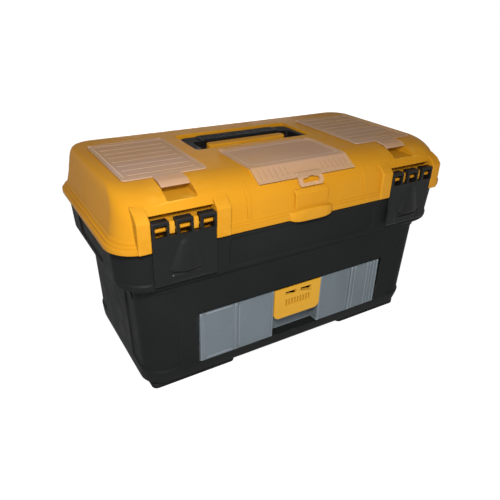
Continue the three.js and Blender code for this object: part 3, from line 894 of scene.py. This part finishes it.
def plate_height(x, z):
    """The rolled edge of the plate and the small ledge under the thumb grip."""
    edge = min(LATCH_HALF_X - abs(x), z - LATCH_PLATE_Z[0])
    rolled = -1.2 * (1 - ease(edge / 2.2))
    inside = ease((19 - abs(x)) / 1.6)
    sunk = -0.9 * panel(x, z, (-23, 23), (180.5, 196), 3, 0.7)
    groove = -1.0 * math.exp(-((z - GROOVE_Z) / 1.2) ** 2) * inside
    ridge = 1.9 * math.exp(-((z - RIDGE_Z) / 1.1) ** 2) * inside
    return rolled + sunk + groove + ridge


def latch_plate():
    xs = graded(-LATCH_HALF_X, LATCH_HALF_X, 1.6, (-38.5, 38.5))
    zs = graded(*LATCH_PLATE_Z, 1.5, (181, RIDGE_Z, GROOVE_Z, BULGE_Z[0]))
    front = [(x, LATCH_FRONT_Y - plate_height(x, z) - bulge_height(x, z), z) for z in zs for x in xs]
    back = [(x, LATCH_FRONT_Y + 3, z) for z in zs for x in xs]
    wide, high = len(xs), len(zs)
    step = wide * high
    faces = []
    for row in range(high - 1):
        for col in range(wide - 1):
            a = row * wide + col
            faces.append((a, a + 1, a + 1 + wide, a + wide))
            faces.append((step + a, step + a + wide, step + a + 1 + wide, step + a + 1))
    border = list(range(wide))
    border += [row * wide + wide - 1 for row in range(1, high)]
    border += [(high - 1) * wide + col for col in range(wide - 2, -1, -1)]
    border += [row * wide for row in range(high - 2, 0, -1)]
    for i, a in enumerate(border):
        b = border[(i + 1) % len(border)]
        faces.append((a, step + a, step + b, b))
    return make("plate", front + back, faces)


def latch(side):
    obj = latch_plate()
    window_outline = [(-136, 240.4), (-131, 240.4), (-121, 234), (-121, 254.5), (-136, 254.5)]
    for span in LATCH_KNUCKLES:
        block = soft_box(span, (LATCH_FRONT_Y, LATCH_BAR_Y + 4), (238.5, 258.5), 1.1, 3)
        window = profile_x(grow(span, -3.4), window_outline)
        union(obj, [cut(block, [window])])
    cut(obj, [rod_x((-41, 41), LATCH_BAR_Y, LATCH_BAR_Z, 3.3)])
    middle = LATCH_MIDDLE_X * (-1 if side == "left" else 1)
    obj.data.transform(Matrix.Translation((middle * MM, 0, 0)))
    name = f"latch_{side}"
    return finish_piece(obj, f"{name}_clip", name, LATCH_BLACK, [name])


# ------------------------------------------------------------------ drawer


def pull_slots():
    """The two slots in the pull, as spans of x and z."""
    high = DRAWER_Z[1] - 7.5
    return [(x, (high - 4.6, high)) for x in both_sides((3.5, 23))]


def grow_slot(slot, y0):
    """The hole behind a slot, wide enough for the bin's wall not to show through it."""
    x, z = slot
    return box(grow(x, 1.6), (y0 - 2, y0 + 8), grow(z, 1.6))


def parts_drawer():
    (y0, y1), (z0, z1) = DRAWER_Y, DRAWER_Z
    wall = 2.4
    obj = pillow((-DRAWER_X, DRAWER_X), (y0, y1), (z0, z1), 3, 0.8)
    inner_z = (z0 + wall, z1)
    hollow = pocket(grow((-DRAWER_X, DRAWER_X), -wall), (y0 + wall, y1 - wall), inner_z, 3, 0.5, 2)
    cut(hollow, [box(grow((-PULL_X, PULL_X), wall), (y0, POCKET_BACK_Y + wall), (z0, z0 + 38))])
    cut(obj, [hollow])
    union(obj, [box(grow((-PULL_X, PULL_X), wall), (y0 + 0.5, y0 + 5.2), (z0 + 32, z1 - 0.5))])
    cut(obj, [soft_box((-PULL_X, PULL_X), (y0 - 8, POCKET_BACK_Y), (z0 - 9, z0 + 38 - wall), 2.5, 3),
              box((-PULL_X, PULL_X), (y0 - 5, y0 + 2.8), (z0 - 5, z1 + 5))])
    bead_x = [*both_sides((PULL_X + 0.3, PULL_X + 2.9)), *both_sides((101.5, 104.5)),
              *both_sides((DRAWER_X - 4.2, DRAWER_X - 1.2)), (109, 111), (134, 136), (140, 142), (147, 149)]
    beads = [soft_box(span, (y0 - 0.9, y0 + 1.5), (z0 + 1.5, z1 - 1.5), 0.7) for span in bead_x]
    grooves = [box(span, (y0 - 2, y0 + 0.9), (z0 + 3, z1 - 3)) for span in both_sides((98, 100.6))]
    sunk = soft_box((-151, -107), (y0 - 2, y0 + 0.5), (z0 + 5, z1 - 5), 0.45)
    union(obj, beads)
    cut(obj, [*grooves, sunk, *[grow_slot(slot, y0) for slot in pull_slots()]])
    return finish_clear(obj, "drawer_bin", "drawer", CLEAR_DRAWER, ["parts_drawer"])


def drawer_pull():
    (y0, _), (z0, z1) = DRAWER_Y, DRAWER_Z
    x = PULL_X - 0.5
    low, high, radius = z0 + 29, z1 - 1, 9
    outline = [(x, high), (-x, high)]
    for quarter, cx in ((2, radius - x), (3, x - radius)):
        for i in range(9):
            turn = (quarter + i / 8) * math.pi / 2
            outline.append((cx + radius * math.cos(turn), low + radius + radius * math.sin(turn)))
    plate = soften(profile_y((y0 - 2.5, y0 + 2.5), outline), 0.8, 3)
    label = soft_box((-27, 27), (y0 - 4, y0 - 2.0), (z0 + 43, z1 - 16), 1.0)
    slots = [soft_box(slot[0], (y0 - 4, y0 + 4), slot[1], 1.2) for slot in pull_slots()]
    mark_y, mark_z = (y0 - 4, y0 + 1.4), (z0 + 48, z1 - 21)
    marks = [soft_box((mx - 1.5, mx + 1.5), mark_y, mark_z, 1.0) for mx in range(-20, 21, 5)]
    lip = soft_box((-27, 27), (y0 - 2.9, y0), (low + 2.5, low + 6), 1.2)
    cut(plate, [label, *slots, *marks])
    flatten(union(plate, [lip]))
    return finish_piece(plate, "drawer_pull_plate", "drawer", PULL_YELLOW, ["drawer_pull"])


def drawer_divider(x, side):
    (y0, y1), (z0, z1) = DRAWER_Y, DRAWER_Z
    obj = plate_with_bead((x - 1, x + 1), (y0 + 2.8, y1 - 2.8), (z0 + 2.8, z1 - 4), 3)
    name = f"drawer_divider_{side}"
    return finish_clear(obj, f"{name}_plate", "drawer", CLEAR_DRAWER, [name])


# ------------------------------------------------------------------ tray


def lift_out_tray():
    wall = 2.5
    z0, z1 = TRAY_Z
    obj = pillow((-TRAY_X, TRAY_X), (-TRAY_Y, TRAY_Y), TRAY_Z, 24, 0.9, 10)
    end_x, end_y = TRAY_X - wall, TRAY_Y - wall
    hollow_z = (z0 + wall, z1)
    inside = pocket((-end_x, end_x), (-end_y, end_y), (z0 + wall, z1 + 6), 24 - wall, 0, 4, 10)
    rows = [pocket((-end_x, end_x), (-end_y, -TRAY_ROW_Y), hollow_z, 8, 0.7, 4)]
    rows += [pocket(x, (TRAY_ROW_Y, end_y), hollow_z, 8, 0.7, 4) for x in both_sides((1.5, end_x))]
    middle_y = (3 - TRAY_ROW_Y, TRAY_ROW_Y - 3)
    rows += [pocket(x, middle_y, hollow_z, 8, 0.7, 4) for x in both_sides((70, end_x))]
    hollows = rows[0]
    union(hollows, rows[1:])
    keep_inside(hollows, [inside])
    fingers = [pocket((-62, 62), y, hollow_z, 4, 0.7, 3) for y in ((-27, -9), (9, 27))]
    cut(obj, [hollows, *fingers, soft_box((-55, 55), (-40, 40), (z1 - 6, z1 + 4), 2.5, 3)])
    grip = soft_box((-66, 66), (-7, 7), (z1 - 8, 224), 3, 3)
    cut(grip, [soft_box((-55, 55), (-40, 40), (z1 - 20, z1 + 4), 2.5, 3)])
    bottom = [pocket((-end_x + 25, end_x - 25), (-end_y + 22, end_y - 22), (z0 - 12, z0 + 0.8), 10)]
    union(obj, [grip])
    cut(obj, bottom)
    return finish_piece(obj, "tray_moulding", "tray", TRAY_GREY, ["lift_out_tray"])


def tray_divider(x, side):
    z0, z1 = TRAY_Z
    obj = plate_with_bead((x - 1, x + 1), (3 - TRAY_Y, -TRAY_ROW_Y - 0.5), (z0 + 3, z1 - 6), 3)
    name = f"tray_divider_{side}"
    return finish_piece(obj, f"{name}_plate", "tray", TRAY_GREY, [name])


# ------------------------------------------------------------------ hinge pins


def hinge_pin(span, side):
    shaft = soften(rod_x(grow(span, 1), HINGE_Y, HINGE_Z, 2.5), 0.5)
    head = soften(rod_x((span[0] - 3.2, span[0] - 0.5), HINGE_Y, HINGE_Z, 3.3), 0.8, 3)
    name = f"lid_hinge_pin_{side}"
    return finish_piece(union(shaft, [head]), f"{name}_wire", "body", STEEL, [name])


# ------------------------------------------------------------------ the object

body_shell()
lid_shell()
carry_handle()
centre_cover()
parts_drawer()
drawer_pull()
lift_out_tray()
for sign, side_name in ((-1, "left"), (1, "right")):
    side_cover(sign * sum(SIDE_BIN_X) / 2, side_name)
    bin_divider(sign * sum(SIDE_BIN_X) / 2, side_name)
    latch(side_name)
    drawer_divider(sign * 101, side_name)
    tray_divider(sign * 77, side_name)
    hinge_pin(HINGE_SPANS[0 if sign < 0 else 1], side_name)

# ------------------------------------------------------------------ stage, light and camera


def pale_floor():
    half = 300
    corners = [(-half, -half, 0), (half, -half, 0), (half, half, 0), (-half, half, 0)]
    mesh = bpy.data.meshes.new("floor")
    mesh.from_pydata(corners, [], [(0, 1, 2, 3)])
    floor = bpy.data.objects.new("floor", mesh)
    bpy.context.scene.collection.objects.link(floor)
    n = Nodes("pale_floor")
    n.link(n.blend(n.noise(3, 2), (0.19, 0.19, 0.19), (0.21, 0.21, 0.21)), n.shader.inputs["Base Color"])
    n.shader.inputs["Roughness"].default_value = 0.7
    n.shader.inputs["Emission Color"].default_value = (1, 1, 1, 1)
    n.shader.inputs["Emission Strength"].default_value = 0.93
    mesh.materials.append(n.material)
    floor.visible_glossy = False


def studio_world(ground, horizon, overhead):
    """White behind the object; its light is brightest near the horizon and dimmer overhead and below."""
    world = bpy.data.worlds.new("studio")
    bpy.context.scene.world = world
    world.use_nodes = True
    tree = world.node_tree
    tree.nodes["Background"].inputs["Color"].default_value = (1, 1, 1, 1)
    split = tree.nodes.new("ShaderNodeSeparateXYZ")
    tree.links.new(tree.nodes.new("ShaderNodeTexCoord").outputs["Generated"], split.inputs["Vector"])
    fade = tree.nodes.new("ShaderNodeMapRange")
    fade.interpolation_type = "SMOOTHSTEP"
    fade.inputs["From Min"].default_value, fade.inputs["From Max"].default_value = 0.05, 0.2
    fade.inputs["To Min"].default_value, fade.inputs["To Max"].default_value = horizon, overhead
    tree.links.new(split.outputs["Z"], fade.inputs["Value"])
    sink = tree.nodes.new("ShaderNodeMapRange")
    sink.inputs["From Min"].default_value, sink.inputs["From Max"].default_value = -0.06, 0.0
    sink.inputs["To Min"].default_value = ground
    tree.links.new(split.outputs["Z"], sink.inputs["Value"])
    tree.links.new(fade.outputs["Result"], sink.inputs["To Max"])
    seen = tree.nodes.new("ShaderNodeMix")
    seen.inputs["B"].default_value = 1.0
    tree.links.new(tree.nodes.new("ShaderNodeLightPath").outputs["Is Camera Ray"], seen.inputs["Factor"])
    tree.links.new(sink.outputs["Result"], seen.inputs["A"])
    tree.links.new(seen.outputs["Result"], tree.nodes["Background"].inputs["Strength"])


def aim(obj, place, target):
    obj.location = place
    obj.rotation_euler = (Vector(target) - Vector(place)).to_track_quat("-Z", "Y").to_euler()


def area_light(name, place, target, width, height, power):
    light = bpy.data.lights.new(name, "AREA")
    light.shape = "RECTANGLE"
    light.size = width
    light.size_y = height
    light.energy = power
    obj = bpy.data.objects.new(name, light)
    bpy.context.scene.collection.objects.link(obj)
    aim(obj, place, target)


def camera():
    azimuth, elevation, roll = -0.55152, 0.48462, -0.027375
    place = Vector((-0.38463, -0.60534, 0.48865))
    back = Vector((
        math.sin(azimuth) * math.cos(elevation),
        -math.cos(azimuth) * math.cos(elevation),
        math.sin(elevation),
    ))
    right = (-back).cross(Vector((0, 0, 1))).normalized()
    down = (-back).cross(right)
    right_rolled = right * math.cos(roll) + down * math.sin(roll)
    down_rolled = down * math.cos(roll) - right * math.sin(roll)
    data = bpy.data.cameras.new("camera")
    data.sensor_width = 36
    data.lens = 36.125
    data.clip_start = 0.01
    obj = bpy.data.objects.new("camera", data)
    bpy.context.scene.collection.objects.link(obj)
    obj.matrix_world = Matrix((
        (right_rolled.x, -down_rolled.x, back.x, place.x),
        (right_rolled.y, -down_rolled.y, back.y, place.y),
        (right_rolled.z, -down_rolled.z, back.z, place.z),
        (0, 0, 0, 1),
    ))
    bpy.context.scene.camera = obj


pale_floor()
studio_world(ground=0.4, horizon=0.75, overhead=0.24)
area_light("key", (-0.35, -0.54, 0.62), (-0.08, -0.1, 0.2), 0.16, 0.12, 6.9)
area_light("back", (0.8, 1.8, 0.25), (0, 0, 0.15), 1.0, 0.3, 9)
camera()
bpy.context.scene.view_settings.view_transform = "Standard"
